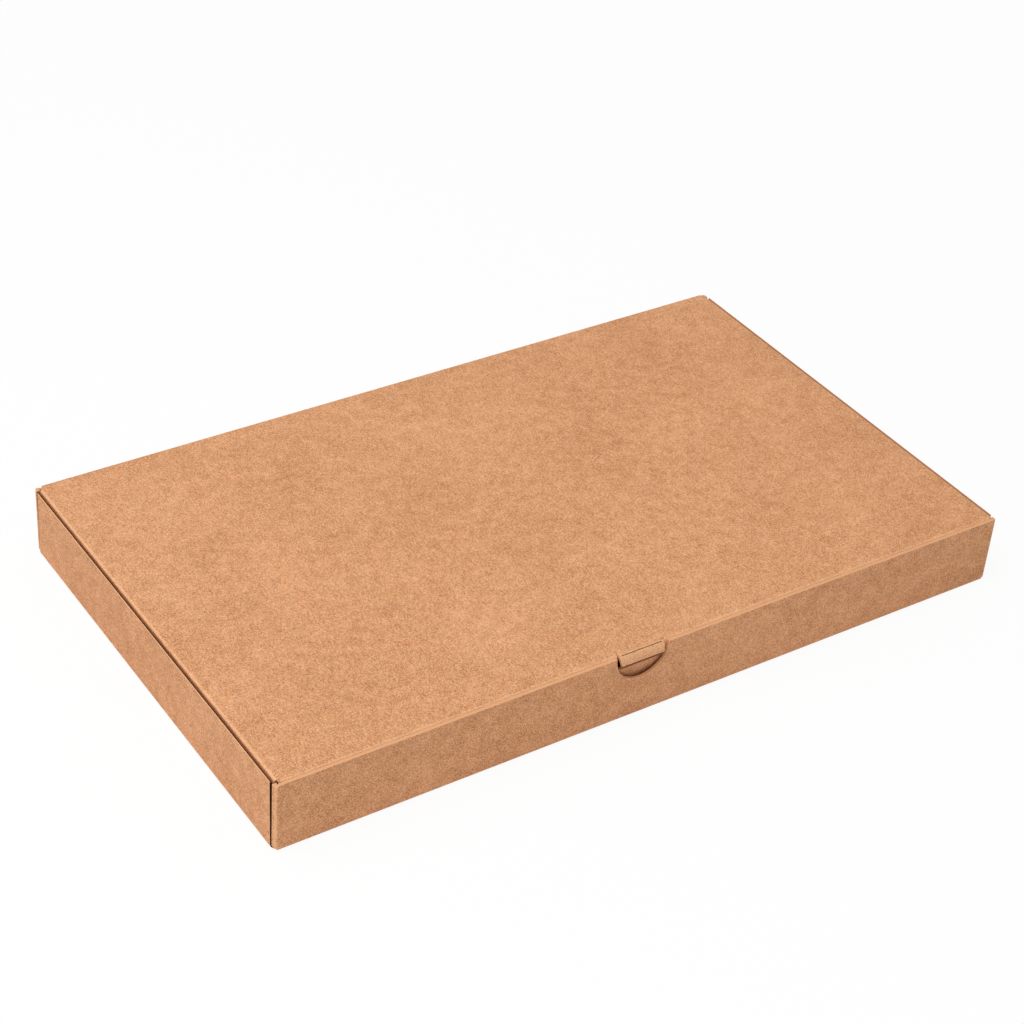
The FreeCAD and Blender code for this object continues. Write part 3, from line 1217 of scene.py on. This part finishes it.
@dataclass
class Studio:
    """Plain pale floor and soft light."""

    floor_size: float = 12.0
    floor_drop: float = 0.05 * MM
    floor_paper: Colour = (0.93, 0.93, 0.93, 1.0)
    floor_glow: float = 0.92
    sky: float = 0.45
    key_place: Triple = (-0.70, -0.12, 1.50)
    key_size: float = 1.3
    key_power: float = 19.0

    def build(self) -> None:
        """Make the floor, the world and the lamps."""
        self.make_floor()
        self.make_world()
        self.make_lamp("key_light", self.key_place, self.key_size, self.key_power)
        bpy.context.scene.view_settings.view_transform = "Standard"

    def make_floor(self) -> None:
        """White floor that keeps the box's soft shadow."""
        deselect_all()
        bpy.ops.mesh.primitive_plane_add(size=self.floor_size, location=(0, 0, -self.floor_drop))
        floor = bpy.context.active_object
        floor.name = "floor"
        bpy.ops.object.transform_apply(location=True, rotation=True, scale=True)
        material = bpy.data.materials.new("floor_paper")
        material.use_nodes = True
        nodes = Nodes(material.node_tree)
        seen = nodes.rays("Is Camera Ray", "Is Glossy Ray", "Is Transmission Ray")
        share = nodes.math("MULTIPLY", seen, self.floor_glow)
        paper = nodes.add("ShaderNodeBsdfDiffuse", {"Color": self.floor_paper})
        glow = nodes.add("ShaderNodeEmission", {"Color": WHITE, "Strength": 1.0})
        mix = nodes.add("ShaderNodeMixShader", {0: share, 1: paper.outputs[0], 2: glow.outputs[0]})
        nodes.add("ShaderNodeOutputMaterial", {"Surface": mix.outputs[0]})
        floor.data.materials.append(material)

    def make_world(self) -> None:
        """Even white surroundings."""
        world = bpy.data.worlds.new("studio")
        bpy.context.scene.world = world
        world.use_nodes = True
        nodes = Nodes(world.node_tree)
        seen = nodes.rays("Is Camera Ray", "Is Glossy Ray")
        strength = nodes.spread(seen, 0.0, 1.0, self.sky, 1.0)
        sky = nodes.add("ShaderNodeBackground", {"Color": WHITE, "Strength": strength})
        nodes.add("ShaderNodeOutputWorld", {"Surface": sky.outputs[0]})

    def make_lamp(self, name: str, place: Triple, size: float, power: float) -> None:
        """A large square lamp that faces the box.

        Args:
            name: its name.
            place: where it hangs.
            size: its side, in metres.
            power: its power, in watts.
        """
        data = bpy.data.lights.new(name, "AREA")
        data.size = size
        data.energy = power
        lamp = bpy.data.objects.new(name, data)
        bpy.context.scene.collection.objects.link(lamp)
        lamp.location = place
        lamp.rotation_mode = "QUATERNION"
        lamp.rotation_quaternion = (-Vector(place)).to_track_quat("-Z", "Y")


def main() -> None:
    """Build the box and the studio round it."""
    logging.basicConfig(level=logging.INFO, format="%(message)s")
    finish = BoardFinish()
    finish.build()
    tray = Tray().build(finish)
    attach(tray, "tray")
    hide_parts("tray")
    LOG.info("%s: %d faces", tray.name, len(tray.data.polygons))
    lid = Lid().build(finish)
    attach(lid, "lid")
    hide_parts("lid")
    LOG.info("%s: %d faces", lid.name, len(lid.data.polygons))
    crease = RearCrease()
    strip = crease.build(finish)
    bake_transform(strip)
    LOG.info("%s: %d faces", strip.name, len(strip.data.polygons))
    Studio().build()
    Viewpoint().build()


if __name__ == "__main__":
    main()
